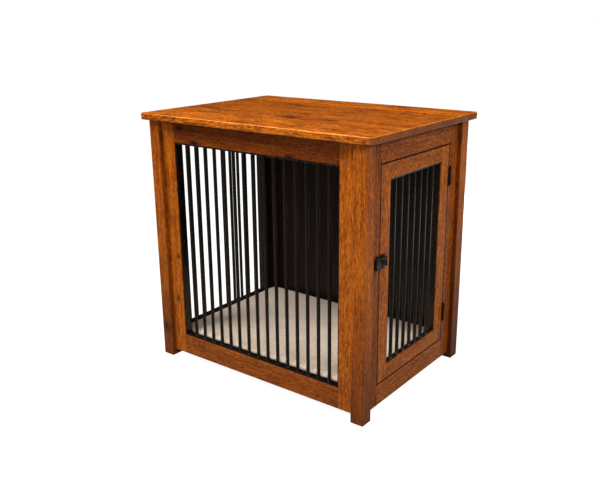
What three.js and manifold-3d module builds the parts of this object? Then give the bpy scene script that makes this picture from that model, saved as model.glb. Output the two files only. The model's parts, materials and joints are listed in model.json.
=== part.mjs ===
// A dog crate that doubles as an end table: a wooden top on four square legs, steel bar
// grilles in three of the sides, a hinged door with a turn latch, and a pad on a raised floor.
// Millimetres, +Z up. The origin is on the ground under the middle of the top.
// −Y is the wide barred side, −X the barred end, +X the end with the door, +Y the closed back.

import * as THREE from "three";
import { mergeVertices } from "three/addons/utils/BufferGeometryUtils.js";
import Module from "manifold-3d";

const wasm = await Module();
wasm.setup();

// ---- Driving dimensions: the whole ----
const HEIGHT = 736;
const LEG_SPAN_X = 728; // over the outer faces of the legs
const LEG_SPAN_Y = 522;
const LEG_WIDTH = 38;
const LEG_EASE = 1.5; // flat taken off each long corner of a leg

// ---- The top ----
const TOP_THICK = 19;
const TOP_OVERHANG_X = 20; // past the outer faces of the legs
const TOP_OVERHANG_Y = 14;
const TOP_CORNER_RADIUS = 5; // seen from above
const TOP_EDGE_RADIUS = 3; // along the upper and lower arrises
const TOP_BOARDS = 5; // glued edge to edge, grain along X

// ---- The stile-and-rail frames between the legs ----
const FRAME_THICK = 19;
const FRAME_RECESS = 13; // the legs stand this far proud of the frames
const FRAME_LIFT = 17; // the frames end this far above the ground
const STILE_WIDTH = 46;
const RAIL_WIDTH = 59;
const TENON_LENGTH = 12;
const TENON_THICK = 7;
const TENON_SHOULDER = 10; // the rail is wider than its tenon by this at each edge
const TENON_CLEARANCE = 0.3;

// ---- The back panel, loose in a groove round its frame ----
const BACK_PANEL_THICK = 9;
const GROOVE_DEPTH = 8;
const GROOVE_CLEARANCE = 0.3; // to each face of the panel
const GROOVE_END_GAP = 0.8; // left for the wood to move

// ---- The grilles: round bars welded into a ring of flat bar ----
const FLAT_BAR_DEPTH = 19;
const FLAT_BAR_THICK = 4;
const FLAT_BAR_SETBACK = 2.5; // behind the wood's outer face
const GRILLE_CLEARANCE = 0.3;
const BAR_DIAMETER = 9.5;
const BAR_SPACING = 34; // about; the bars divide each opening evenly
const BAR_SIDES = 16;

// ---- The door ----
const DOOR_GAP = 2; // all round, in its opening
const DOOR_THICK = 18.5;
const DOOR_STILE_WIDTH = 44;
const DOOR_RAIL_WIDTH = 41;
const DOOR_FLAT_BAR_DEPTH = 12.7; // stays within the thickness of the door
const STOP_THICK = 13; // battens behind the door that it closes against
const STOP_WIDTH = 30;
const STOP_LAP = 12; // how far a stop reaches into the opening
const STOP_FOOT = 24; // the side stop starts this far above the foot of the doorway
const STOP_HEAD = 32; // and ends this far above its head

// ---- The butt hinges ----
const HINGE_INSET = 87; // middle of each hinge from the end of the door
const HINGE_LENGTH = 50;
const HINGE_KNUCKLES = 5;
const KNUCKLE_GAP = 0.3;
const BARREL_RADIUS = 4;
const BARREL_STANDOFF = 0.3; // between the barrel and the wood's outer face
const PIN_RADIUS = 2;
const PIN_CLEARANCE = 0.1;
const PIN_HEAD_RADIUS = 3.4;
const PIN_HEAD_HEIGHT = 3.2;
const LEAF_DEPTH = 16; // into the edge of the wood
const LEAF_THICK = 1.5;
const LEAF_GAP = 0.6; // between the two closed leaves
const LEAF_CLEARANCE = 0.3; // to its seat in the wood
const ROUND_SIDES = 24;

// ---- The turn latch ----
const LATCH_RISE = 45; // middle of the latch above the middle of the door
const LATCH_PLATE_LENGTH = 40; // up and down
const LATCH_PLATE_WIDTH = 22.5;
const LATCH_PLATE_THICK = 1.2;
const LATCH_CORNER_RADIUS = 3;
const LATCH_EDGE_GAP = 1.5; // from the edge of the door to the plate
const KEEPER_EDGE_GAP = 0.5; // from the edge of the stile to the keeper
const CASE_DEPTH = 7; // of the case and of the keeper's hood, in front of their plates
const CASE_WALL = 1.8;
const CASE_LENGTH = 24.6;
const BOLT_LENGTH = 20; // up and down
const BOLT_THICK = 2.9;
const BOLT_TAIL = 2; // metal behind the slot
const LATCH_PLAY = 0.4; // between the sliding and turning pieces
const CRANK_PIN_RADIUS = 1.4;
const CRANK_PIN_PLAY = 0.45;
const CRANK_REST_DEG = 50; // the crank pin's place from +Y, bolt drawn back
const SPINDLE_FROM_EDGE = 10.2; // from the case's edge over the gap
const SPINDLE_RADIUS = 3;
const SPINDLE_CLEARANCE = 0.1;
const THUMB_DISC_RADIUS = 6.5;
const THUMB_DISC_THICK = 2.4;
const THUMB_SOCKET_DEPTH = 1.6;
const THUMB_WING_LENGTH = 15;
const THUMB_WING_THICK = 3.4;
const THUMB_WING_HEIGHT = 4;

// ---- The floor, the battens and the pad ----
const CLEAT_SIZE = 19; // square battens that carry the floor and fix the top
const CLEAT_END_GAP = 0.3;
const FLOOR_THICK = 12;
const FLOOR_CLEARANCE = 0.5;
const PAD_THICK = 39;
const PAD_EDGE_HEIGHT = 37; // where the crown starts
const PAD_MARGIN = 2; // from the legs' inner faces
const PAD_LIFT = 0.3;
const PAD_CORNER_RADIUS = 26;
const PAD_EDGE_RADIUS = 8;
const PAD_CROWN_WIDTH = 120; // from the edge to the flat middle
const PAD_CORNER_STEPS = 6;

// ---- Places worked out from them ----
const LEG_TOP = HEIGHT - TOP_THICK;
const LEG_INNER_X = LEG_SPAN_X / 2 - LEG_WIDTH;
const LEG_INNER_Y = LEG_SPAN_Y / 2 - LEG_WIDTH;
const END_FACE = LEG_SPAN_X / 2 - FRAME_RECESS; // outer face of the end frames, from the middle
const WIDE_FACE = LEG_SPAN_Y / 2 - FRAME_RECESS; // outer face of the front and back frames
const END_INSIDE = END_FACE - FRAME_THICK;
const WIDE_INSIDE = WIDE_FACE - FRAME_THICK;
const FLOOR_LOW = FRAME_LIFT + CLEAT_SIZE;
const FLOOR_HIGH = FLOOR_LOW + FLOOR_THICK;

// ---- Solids ----

// A closed three.js geometry as a solid that can be joined and cut.
function solidOf(geometry) {
  const bare = geometry.clone();
  bare.deleteAttribute("normal");
  bare.deleteAttribute("uv");
  const merged = mergeVertices(bare, 1e-5);
  return new wasm.Manifold(
    new wasm.Mesh({
      numProp: 3,
      vertProperties: new Float32Array(merged.attributes.position.array),
      triVerts: new Uint32Array(merged.index.array),
    }),
  );
}

// The other way round, with flat shading.
function geometryOf(solid) {
  const { vertProperties, triVerts } = solid.getMesh();
  const indexed = new THREE.BufferGeometry();
  indexed.setAttribute("position", new THREE.BufferAttribute(vertProperties, 3));
  indexed.setIndex(new THREE.BufferAttribute(triVerts, 1));
  const flat = indexed.toNonIndexed();
  flat.computeVertexNormals();
  return flat;
}

// A box between two opposite corners. Neighbours given the same number meet face to face.
function block(low, high) {
  const size = high.map((value, axis) => value - low[axis]);
  const place = new THREE.Matrix4().makeScale(...size).setPosition(...low);
  return solidOf(new THREE.BoxGeometry(1, 1, 1).translate(0.5, 0.5, 0.5).applyMatrix4(place));
}

// A round bar along Z whose flats lie at least `radius` from its axis, for bores and hollows.
function bore(radius, x, y, low, high, sides = ROUND_SIDES) {
  return rod(radius / Math.cos(Math.PI / sides), x, y, low, high, sides);
}

// A round bar along Z.
function rod(radius, x, y, low, high, sides = ROUND_SIDES) {
  const length = high - low;
  const bar = new THREE.CylinderGeometry(radius, radius, length, sides).rotateX(Math.PI / 2);
  return solidOf(bar.translate(x, y, low + length / 2));
}

// The outline of a rectangle about a middle point, with round corners.
function roundedRectangle(width, height, radius, x = 0, y = 0) {
  const right = width / 2;
  const top = height / 2;
  const shape = new THREE.Shape();
  shape.moveTo(x - right + radius, y - top);
  shape.lineTo(x + right - radius, y - top);
  shape.absarc(x + right - radius, y - top + radius, radius, -Math.PI / 2, 0);
  shape.absarc(x + right - radius, y + top - radius, radius, 0, Math.PI / 2);
  shape.absarc(x - right + radius, y + top - radius, radius, Math.PI / 2, Math.PI);
  shape.absarc(x - right + radius, y - top + radius, radius, Math.PI, Math.PI * 1.5);
  return shape;
}

// An outline drawn on a face that looks towards −Y, thickened from one distance to another.
function slab(shape, near, far, curveSegments = 4) {
  const flat = new THREE.ExtrudeGeometry(shape, {
    depth: far - near,
    bevelEnabled: false,
    curveSegments,
  });
  const stand = new THREE.Matrix4().makeRotationX(Math.PI / 2).setPosition(0, -near, 0);
  return solidOf(flat.applyMatrix4(stand));
}

// ---- Materials and nodes ----
const WOOD = { color: 0xa0522d, roughness: 0.5, metalness: 0 };
const DARK_WOOD = { color: 0x5a2814, roughness: 0.6, metalness: 0 };
const BLACK_STEEL = { color: 0x17171a, roughness: 0.45, metalness: 0.6 };
const PAD_CLOTH = { color: 0xc8beb4, roughness: 0.95, metalness: 0 };

function addPiece(group, name, solid, look) {
  const mesh = new THREE.Mesh(geometryOf(solid), new THREE.MeshStandardMaterial(look));
  mesh.name = name;
  group.add(mesh);
}

function addPieces(group, solids, look) {
  for (const [name, solid] of Object.entries(solids)) addPiece(group, name, solid, look);
}

// ---- Legs and top ----

// A square leg with its long corners taken off, standing on the ground.
function leg(sideX, sideY) {
  const half = LEG_WIDTH / 2;
  const flat = half - LEG_EASE;
  const section = new THREE.Shape([
    new THREE.Vector2(half, -flat),
    new THREE.Vector2(half, flat),
    new THREE.Vector2(flat, half),
    new THREE.Vector2(-flat, half),
    new THREE.Vector2(-half, flat),
    new THREE.Vector2(-half, -flat),
    new THREE.Vector2(-flat, -half),
    new THREE.Vector2(flat, -half),
  ]);
  const post = new THREE.ExtrudeGeometry(section, { depth: LEG_TOP, bevelEnabled: false });
  const middleX = sideX * (LEG_SPAN_X / 2 - half);
  const middleY = sideY * (LEG_SPAN_Y / 2 - half);
  return solidOf(post.translate(middleX, middleY, 0));
}

// The whole top with its rounded arrises, then sawn into boards that meet at their edges.
function topBoards() {
  const width = LEG_SPAN_X + 2 * TOP_OVERHANG_X;
  const depth = LEG_SPAN_Y + 2 * TOP_OVERHANG_Y;
  const inset = 2 * TOP_EDGE_RADIUS;
  const outline = roundedRectangle(width - inset, depth - inset, TOP_CORNER_RADIUS);
  const slabOfWood = new THREE.ExtrudeGeometry(outline, {
    depth: TOP_THICK - inset,
    bevelThickness: TOP_EDGE_RADIUS,
    bevelSize: TOP_EDGE_RADIUS,
    bevelSegments: 3,
    curveSegments: 4,
  });
  const top = solidOf(slabOfWood.translate(0, 0, LEG_TOP + TOP_EDGE_RADIUS));
  const boardWidth = depth / TOP_BOARDS;
  const boards = {};
  for (let i = 0; i < TOP_BOARDS; i++) {
    const low = -depth / 2 + i * boardWidth;
    const saw = block([-width, low, 0], [width, low + boardWidth, 2 * HEIGHT]);
    boards[`tabletop_board_${i + 1}`] = top.intersect(saw);
  }
  return boards;
}

// ---- Stile-and-rail frames, all drawn facing −Y ----

// The opening that a frame leaves between its stiles and rails.
function openingOf({ half, low, high, stile, rail }) {
  return { half: half - stile, low: low + rail, high: high - rail };
}

// Two stiles that run the full height with two rails tenoned between them.
function frame(spec) {
  const { half, face, thick, low, high } = spec;
  const open = openingOf(spec);
  const outer = -face;
  const inner = -face + thick;
  const middle = -face + thick / 2;

  const tenonBar = (railLow, railHigh, extra) =>
    block(
      [
        -open.half - TENON_LENGTH - extra,
        middle - TENON_THICK / 2 - extra,
        railLow + TENON_SHOULDER - extra,
      ],
      [
        open.half + TENON_LENGTH + extra,
        middle + TENON_THICK / 2 + extra,
        railHigh - TENON_SHOULDER + extra,
      ],
    );
  const rail = (railLow, railHigh) =>
    block([-open.half, outer, railLow], [open.half, inner, railHigh]).add(
      tenonBar(railLow, railHigh, 0),
    );
  const stile = (from, to) =>
    block([from, outer, low], [to, inner, high])
      .subtract(tenonBar(low, open.low, TENON_CLEARANCE))
      .subtract(tenonBar(open.high, high, TENON_CLEARANCE));

  return {
    minusStile: stile(-half, -open.half),
    plusStile: stile(open.half, half),
    bottomRail: rail(low, open.low),
    topRail: rail(open.high, high),
  };
}

// A ring of flat bar that lines an opening, with round bars welded into it top and bottom.
function grille(open, face, depth) {
  const near = -face + FLAT_BAR_SETBACK;
  const far = near + depth;
  const side = open.half - GRILLE_CLEARANCE;
  const top = open.high - GRILLE_CLEARANCE;
  const clear = side - FLAT_BAR_THICK;
  const lowClear = open.low + FLAT_BAR_THICK;
  const highClear = top - FLAT_BAR_THICK;
  let welded = block([-side, near, open.low], [side, far, top]).subtract(
    block([-clear, near - 1, lowClear], [clear, far + 1, highClear]),
  );
  const span = 2 * open.half - FLAT_BAR_THICK;
  const spaces = Math.round(span / BAR_SPACING);
  for (let i = 1; i < spaces; i++) {
    const x = (i / spaces - 0.5) * span;
    const barLow = open.low + FLAT_BAR_THICK / 2;
    const barHigh = top - FLAT_BAR_THICK / 2;
    const middle = (near + far) / 2;
    welded = welded.add(rod(BAR_DIAMETER / 2, x, middle, barLow, barHigh, BAR_SIDES));
  }
  return welded;
}

// The space for the back panel: its opening and the groove round it, less a clearance.
function panelSpace(spec, thick, endGap) {
  const open = openingOf(spec);
  const reach = GROOVE_DEPTH - endGap;
  const middle = -spec.face + spec.thick / 2;
  return block(
    [-open.half - reach, middle - thick / 2, open.low - GROOVE_DEPTH],
    [open.half + reach, middle + thick / 2, open.high + reach],
  );
}

const frameBase = {
  thick: FRAME_THICK,
  low: FRAME_LIFT,
  high: LEG_TOP,
  stile: STILE_WIDTH,
  rail: RAIL_WIDTH,
};
const wideFrame = { ...frameBase, half: LEG_INNER_X, face: WIDE_FACE };
const endFrame = { ...frameBase, half: LEG_INNER_Y, face: END_FACE };
const doorway = openingOf(endFrame);
const doorFrame = {
  half: doorway.half - DOOR_GAP,
  face: END_FACE,
  thick: DOOR_THICK,
  low: doorway.low + DOOR_GAP,
  high: doorway.high - DOOR_GAP,
  stile: DOOR_STILE_WIDTH,
  rail: DOOR_RAIL_WIDTH,
};

const HINGE_HEIGHTS = { upper: doorFrame.high - HINGE_INSET, lower: doorFrame.low + HINGE_INSET };
const LATCH_HEIGHT = (doorFrame.low + doorFrame.high) / 2 + LATCH_RISE;

// ---- Battens along the foot and the head of a frame ----
function cleat(insideFace, halfLength, low) {
  return block(
    [-halfLength, -insideFace, low],
    [halfLength, -insideFace + CLEAT_SIZE, low + CLEAT_SIZE],
  );
}

const cleatLevels = { floor_cleat: FRAME_LIFT, top_cleat: LEG_TOP - CLEAT_SIZE };
const wideCleatHalf = LEG_INNER_X - CLEAT_END_GAP;
const endCleatHalf = WIDE_INSIDE - CLEAT_SIZE - CLEAT_END_GAP;

function addCleats(group, side, insideFace, halfLength) {
  for (const [kind, low] of Object.entries(cleatLevels)) {
    addPiece(group, `${kind}_${side}`, cleat(insideFace, halfLength, low), DARK_WOOD);
  }
}

// ---- Butt hinges, drawn with the door end facing −Y ----
const hingeAxis = {
  x: doorway.half - DOOR_GAP / 2,
  y: -(END_FACE + BARREL_RADIUS + BARREL_STANDOFF),
};

// The flat of a leaf, on the frame's side (+1) or the door's side (−1) of the gap.
function leafPlate(side, middle, nearY, low, high, extra = 0) {
  const faces = [
    hingeAxis.x + side * (LEAF_GAP / 2),
    hingeAxis.x + side * (LEAF_GAP / 2 + LEAF_THICK + extra),
  ].sort((a, b) => a - b);
  return block(
    [faces[0], nearY, middle + low - extra],
    [faces[1], -END_FACE + LEAF_DEPTH + extra, middle + high + extra],
  );
}

// A leaf with its share of the knuckles; the plate is cut back clear of the other leaf's.
function hingeLeaf(side, middle) {
  const half = HINGE_LENGTH / 2;
  const pitch = HINGE_LENGTH / HINGE_KNUCKLES;
  const clearOfBarrel = hingeAxis.y + BARREL_RADIUS + BARREL_STANDOFF;
  let leaf = leafPlate(side, middle, clearOfBarrel, -half, half);
  const first = side > 0 ? 0 : 1;
  for (let i = first; i < HINGE_KNUCKLES; i += 2) {
    const low = -half + i * pitch + KNUCKLE_GAP / 2;
    const high = low + pitch - KNUCKLE_GAP;
    leaf = leaf
      .add(rod(BARREL_RADIUS, hingeAxis.x, hingeAxis.y, middle + low, middle + high))
      .add(leafPlate(side, middle, hingeAxis.y, low, high));
  }
  const hole = bore(PIN_RADIUS + PIN_CLEARANCE, hingeAxis.x, hingeAxis.y, middle - half - 1, middle + half + 1);
  return leaf.subtract(hole);
}

// The shallow seat for a leaf in the edge of the wood.
function leafSeat(side, middle) {
  const half = HINGE_LENGTH / 2;
  return leafPlate(side, middle, -END_FACE - LEAF_CLEARANCE, -half, half, LEAF_CLEARANCE);
}

// The pin, turned with a domed head at each end.
function hingePin(middle) {
  const neck = HINGE_LENGTH / 2 + KNUCKLE_GAP;
  const shoulder = neck + PIN_HEAD_HEIGHT / 3;
  const tip = neck + PIN_HEAD_HEIGHT;
  const profile = [
    [0, -tip],
    [PIN_HEAD_RADIUS * 0.7, -tip + PIN_HEAD_HEIGHT / 4],
    [PIN_HEAD_RADIUS, -shoulder],
    [PIN_HEAD_RADIUS, -neck],
    [PIN_RADIUS, -neck],
    [PIN_RADIUS, neck],
    [PIN_HEAD_RADIUS, neck],
    [PIN_HEAD_RADIUS, shoulder],
    [PIN_HEAD_RADIUS * 0.7, tip - PIN_HEAD_HEIGHT / 4],
    [0, tip],
  ].map(([radius, along]) => new THREE.Vector2(radius, along));
  const turned = new THREE.LatheGeometry(profile, ROUND_SIDES).rotateX(Math.PI / 2);
  return solidOf(turned.translate(hingeAxis.x, hingeAxis.y, middle));
}

// ---- The turn latch, drawn with the door end facing −Y ----
// `out` distances run outwards from the face of the wood.
const latch = {
  edge: -doorFrame.half + LATCH_EDGE_GAP,
  keeperEdge: -doorway.half - KEEPER_EDGE_GAP,
  floor: LATCH_PLATE_THICK + LATCH_PLAY, // back of the bolt
  disc: LATCH_PLATE_THICK + LATCH_PLAY + BOLT_THICK + LATCH_PLAY, // back of the crank disc
  discFront: LATCH_PLATE_THICK + CASE_DEPTH - CASE_WALL - LATCH_PLAY,
  front: LATCH_PLATE_THICK + CASE_DEPTH, // front of the case and of the hood
};
latch.middle = latch.edge + LATCH_PLATE_WIDTH / 2;
latch.spindle = latch.edge + SPINDLE_FROM_EDGE;
latch.crankDisc = SPINDLE_FROM_EDGE - CASE_WALL - LATCH_PLAY;
latch.crankThrow = latch.crankDisc - CRANK_PIN_RADIUS - LATCH_PLAY;
latch.crankAngle = THREE.MathUtils.degToRad(CRANK_REST_DEG);
latch.crankX = latch.spindle + latch.crankThrow * Math.cos(latch.crankAngle);
latch.crankZ = LATCH_HEIGHT + latch.crankThrow * Math.sin(latch.crankAngle);

const outward = (distance) => END_FACE + distance;

// A disc, pin or bore of the latch: a round bar that points out of the door.
function roundOut(radius, x, z, near, far, sides = ROUND_SIDES) {
  const length = far - near;
  const bar = new THREE.CylinderGeometry(radius, radius, length, sides);
  return solidOf(bar.translate(x, -outward(near) - length / 2, z));
}

function latchBox(fromX, toX, halfLength, near, far, middleZ = LATCH_HEIGHT) {
  return block(
    [fromX, -outward(far), middleZ - halfLength],
    [toX, -outward(near), middleZ + halfLength],
  );
}

function roundedPlate(middleX, near, far) {
  const outline = roundedRectangle(
    LATCH_PLATE_WIDTH,
    LATCH_PLATE_LENGTH,
    LATCH_CORNER_RADIUS,
    middleX,
    LATCH_HEIGHT,
  );
  return slab(outline, outward(near), outward(far));
}

// The case: a box with an open back, a slot for the bolt and a bore for the spindle.
function latchCase() {
  const near = LATCH_PLATE_THICK + LATCH_PLAY / 2;
  const far = latch.edge + LATCH_PLATE_WIDTH;
  const boltSpace = BOLT_LENGTH / 2 + LATCH_PLAY;
  const body = slab(
    roundedRectangle(LATCH_PLATE_WIDTH, CASE_LENGTH, LATCH_CORNER_RADIUS / 2, latch.middle, LATCH_HEIGHT),
    outward(near),
    outward(latch.front),
  );
  const hollow = latchBox(
    latch.edge + CASE_WALL,
    far - CASE_WALL,
    boltSpace,
    near - 1,
    latch.front - CASE_WALL,
  );
  const slot = latchBox(
    latch.edge - 1,
    latch.middle,
    boltSpace,
    near - 1,
    latch.floor + BOLT_THICK + LATCH_PLAY / 2,
  );
  const spindleBore = roundOut(
    (SPINDLE_RADIUS + SPINDLE_CLEARANCE) / Math.cos(Math.PI / ROUND_SIDES),
    latch.spindle,
    LATCH_HEIGHT,
    latch.disc,
    latch.front + 1,
  );
  return body.subtract(hollow).subtract(slot).subtract(spindleBore);
}

// The bolt: a flat bar with an upright slot that the crank pin works in.
function latchBolt() {
  const halfSlot = CRANK_PIN_RADIUS + CRANK_PIN_PLAY;
  const slotLow = latch.crankZ - halfSlot;
  const slotHigh = LATCH_HEIGHT + latch.crankThrow + halfSlot;
  const bar = latchBox(
    latch.edge + LATCH_PLAY / 2,
    latch.crankX + halfSlot + BOLT_TAIL,
    BOLT_LENGTH / 2,
    latch.floor,
    latch.floor + BOLT_THICK,
  );
  const slot = latchBox(
    latch.crankX - halfSlot,
    latch.crankX + halfSlot,
    (slotHigh - slotLow) / 2,
    latch.floor - 1,
    latch.disc,
    (slotHigh + slotLow) / 2,
  );
  return bar.subtract(slot);
}

// The spindle: a crank disc and its pin inside the case, and a shaft out to the thumb turn.
function latchSpindle() {
  const shaftEnd = latch.front + LATCH_PLAY + THUMB_SOCKET_DEPTH - SPINDLE_CLEARANCE;
  const pinBack = latch.floor + LATCH_PLAY;
  return roundOut(latch.crankDisc, latch.spindle, LATCH_HEIGHT, latch.disc, latch.discFront)
    .add(roundOut(SPINDLE_RADIUS, latch.spindle, LATCH_HEIGHT, latch.disc, shaftEnd))
    .add(roundOut(CRANK_PIN_RADIUS, latch.crankX, latch.crankZ, pinBack, latch.discFront, BAR_SIDES));
}

// The thumb turn: a disc on the end of the shaft with a wing across it.
function latchThumbTurn() {
  const back = latch.front + LATCH_PLAY;
  const discFront = back + THUMB_DISC_THICK;
  const wing = slab(
    roundedRectangle(
      THUMB_WING_THICK,
      THUMB_WING_LENGTH,
      THUMB_WING_THICK * 0.45,
      latch.spindle,
      LATCH_HEIGHT,
    ),
    outward(back),
    outward(discFront + THUMB_WING_HEIGHT),
  );
  const socket = roundOut(
    (SPINDLE_RADIUS + SPINDLE_CLEARANCE) / Math.cos(Math.PI / ROUND_SIDES),
    latch.spindle,
    LATCH_HEIGHT,
    back - 1,
    back + THUMB_SOCKET_DEPTH,
  );
  return roundOut(THUMB_DISC_RADIUS, latch.spindle, LATCH_HEIGHT, back, discFront)
    .add(wing)
    .subtract(socket);
}

// The keeper: a plate on the stile with a hood that the bolt shoots into.
function latchKeeper() {
  const middle = latch.keeperEdge - LATCH_PLATE_WIDTH / 2;
  const hood = slab(
    roundedRectangle(LATCH_PLATE_WIDTH, CASE_LENGTH + 2 * CASE_WALL, LATCH_CORNER_RADIUS / 2, middle, LATCH_HEIGHT),
    outward(LATCH_PLATE_THICK / 2),
    outward(latch.front),
  );
  const travel = 2 * latch.crankThrow * Math.cos(latch.crankAngle);
  const pocketEnd = latch.edge + LATCH_PLAY / 2 - travel - BOLT_TAIL;
  const pocket = latchBox(
    pocketEnd,
    latch.keeperEdge + 1,
    BOLT_LENGTH / 2 + LATCH_PLAY,
    latch.floor - LATCH_PLAY,
    latch.floor + BOLT_THICK + LATCH_PLAY,
  );
  return roundedPlate(middle, 0, LATCH_PLATE_THICK).add(hood).subtract(pocket);
}

// ---- The pad: rings of a rounded rectangle, lofted from its flat base to its crown ----
function padRing(inset, height) {
  const halfX = LEG_INNER_X - PAD_MARGIN - inset;
  const halfY = LEG_INNER_Y - PAD_MARGIN - inset;
  const radius = Math.max(PAD_CORNER_RADIUS - inset, 2);
  const ring = [];
  for (let corner = 0; corner < 4; corner++) {
    const signX = corner === 0 || corner === 3 ? 1 : -1;
    const signY = corner < 2 ? 1 : -1;
    for (let step = 0; step <= PAD_CORNER_STEPS; step++) {
      const angle = (corner + step / PAD_CORNER_STEPS) * (Math.PI / 2);
      ring.push(
        new THREE.Vector3(
          signX * (halfX - radius) + radius * Math.cos(angle),
          signY * (halfY - radius) + radius * Math.sin(angle),
          FLOOR_HIGH + PAD_LIFT + height,
        ),
      );
    }
  }
  return ring;
}

function loft(rings) {
  const count = rings[0].length;
  const points = rings.flat();
  const triangles = [];
  for (let level = 0; level + 1 < rings.length; level++) {
    for (let i = 0; i < count; i++) {
      const next = (i + 1) % count;
      const a = level * count + i;
      const b = level * count + next;
      triangles.push(a, b, b + count, a, b + count, a + count);
    }
  }
  const centre = (ring) => ring.reduce((sum, p) => sum.add(p), new THREE.Vector3()).divideScalar(count);
  const base = points.push(centre(rings[0])) - 1;
  const crown = points.push(centre(rings[rings.length - 1])) - 1;
  const topStart = (rings.length - 1) * count;
  for (let i = 0; i < count; i++) {
    const next = (i + 1) % count;
    triangles.push(base, next, i, crown, topStart + i, topStart + next);
  }
  const geometry = new THREE.BufferGeometry().setFromPoints(points);
  geometry.setIndex(triangles);
  return solidOf(geometry);
}

function pad() {
  const rings = [];
  const edgeSteps = 4;
  const roundEdge = (from, to, heightOf) => {
    for (let step = 0; step <= edgeSteps; step++) {
      const angle = THREE.MathUtils.lerp(from, to, step / edgeSteps);
      rings.push(padRing(PAD_EDGE_RADIUS * (1 - Math.cos(angle)), heightOf(Math.sin(angle))));
    }
  };
  roundEdge(-Math.PI / 2, 0, (sine) => PAD_EDGE_RADIUS * (1 + sine));
  roundEdge(0, Math.PI / 2, (sine) => PAD_EDGE_HEIGHT - PAD_EDGE_RADIUS * (1 - sine));
  const crownSteps = 4;
  for (let step = 1; step <= crownSteps; step++) {
    const share = step / crownSteps;
    const rise = (PAD_THICK - PAD_EDGE_HEIGHT) * Math.sin((share * Math.PI) / 2);
    rings.push(padRing(PAD_EDGE_RADIUS + share * PAD_CROWN_WIDTH, PAD_EDGE_HEIGHT + rise));
  }
  return loft(rings);
}

// ---- The floor: a board notched round the legs, lying on its battens ----
function floorPanel() {
  const x = END_INSIDE - FLOOR_CLEARANCE;
  const y = WIDE_INSIDE - FLOOR_CLEARANCE;
  let board = block([-x, -y, FLOOR_LOW], [x, y, FLOOR_HIGH]);
  const notchX = LEG_INNER_X - FLOOR_CLEARANCE;
  const notchY = LEG_INNER_Y - FLOOR_CLEARANCE;
  for (const sideX of [-1, 1]) {
    for (const sideY of [-1, 1]) {
      const cornerX = [sideX * notchX, sideX * LEG_SPAN_X].sort((a, b) => a - b);
      const cornerY = [sideY * notchY, sideY * LEG_SPAN_Y].sort((a, b) => a - b);
      const notch = block([cornerX[0], cornerY[0], 0], [cornerX[1], cornerY[1], HEIGHT]);
      board = board.subtract(notch);
    }
  }
  return board;
}

// ---- Assembly ----
const table = new THREE.Group();
table.name = "dog_crate_end_table";

// Each side is drawn facing −Y in a group of its own, turned to where it belongs.
function sideGroup(turns) {
  const group = new THREE.Group();
  group.rotation.z = (turns * Math.PI) / 2;
  table.add(group);
  return group;
}
const front = sideGroup(0);
const right = sideGroup(1);
const back = sideGroup(2);
const left = sideGroup(-1);

addPieces(table, topBoards(), WOOD);
addPieces(
  table,
  {
    leg_front_left: leg(-1, -1),
    leg_front_right: leg(1, -1),
    leg_back_left: leg(-1, 1),
    leg_back_right: leg(1, 1),
  },
  WOOD,
);

const frontFrame = frame(wideFrame);
addPieces(
  front,
  {
    front_left_stile: frontFrame.minusStile,
    front_right_stile: frontFrame.plusStile,
    front_bottom_rail: frontFrame.bottomRail,
    front_top_rail: frontFrame.topRail,
  },
  WOOD,
);
addPiece(front, "front_grille", grille(openingOf(wideFrame), WIDE_FACE, FLAT_BAR_DEPTH), BLACK_STEEL);

const leftFrame = frame(endFrame);
addPieces(
  left,
  {
    left_back_stile: leftFrame.minusStile,
    left_front_stile: leftFrame.plusStile,
    left_bottom_rail: leftFrame.bottomRail,
    left_top_rail: leftFrame.topRail,
  },
  WOOD,
);
addPiece(left, "left_grille", grille(openingOf(endFrame), END_FACE, FLAT_BAR_DEPTH), BLACK_STEEL);

const backFrame = frame(wideFrame);
const grooveSpace = panelSpace(wideFrame, BACK_PANEL_THICK + 2 * GROOVE_CLEARANCE, 0);
addPieces(
  back,
  {
    back_right_stile: backFrame.minusStile.subtract(grooveSpace),
    back_left_stile: backFrame.plusStile.subtract(grooveSpace),
    back_bottom_rail: backFrame.bottomRail.subtract(grooveSpace),
    back_top_rail: backFrame.topRail.subtract(grooveSpace),
    back_panel: panelSpace(wideFrame, BACK_PANEL_THICK, GROOVE_END_GAP),
  },
  WOOD,
);

// The end with the door: its frame and the door's, seated for two hinges.
const rightFrame = frame(endFrame);
const door = frame(doorFrame);
for (const [place, middle] of Object.entries(HINGE_HEIGHTS)) {
  rightFrame.plusStile = rightFrame.plusStile.subtract(leafSeat(1, middle));
  door.plusStile = door.plusStile.subtract(leafSeat(-1, middle));
  addPieces(
    right,
    {
      [`hinge_${place}_frame_leaf`]: hingeLeaf(1, middle),
      [`hinge_${place}_door_leaf`]: hingeLeaf(-1, middle),
      [`hinge_${place}_pin`]: hingePin(middle),
    },
    BLACK_STEEL,
  );
}
addPieces(
  right,
  {
    right_front_stile: rightFrame.minusStile,
    right_back_stile: rightFrame.plusStile,
    right_bottom_rail: rightFrame.bottomRail,
    right_top_rail: rightFrame.topRail,
    door_latch_stile: door.minusStile,
    door_hinge_stile: door.plusStile,
    door_bottom_rail: door.bottomRail,
    door_top_rail: door.topRail,
  },
  WOOD,
);
addPiece(right, "door_grille", grille(openingOf(doorFrame), END_FACE, DOOR_FLAT_BAR_DEPTH), BLACK_STEEL);

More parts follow.
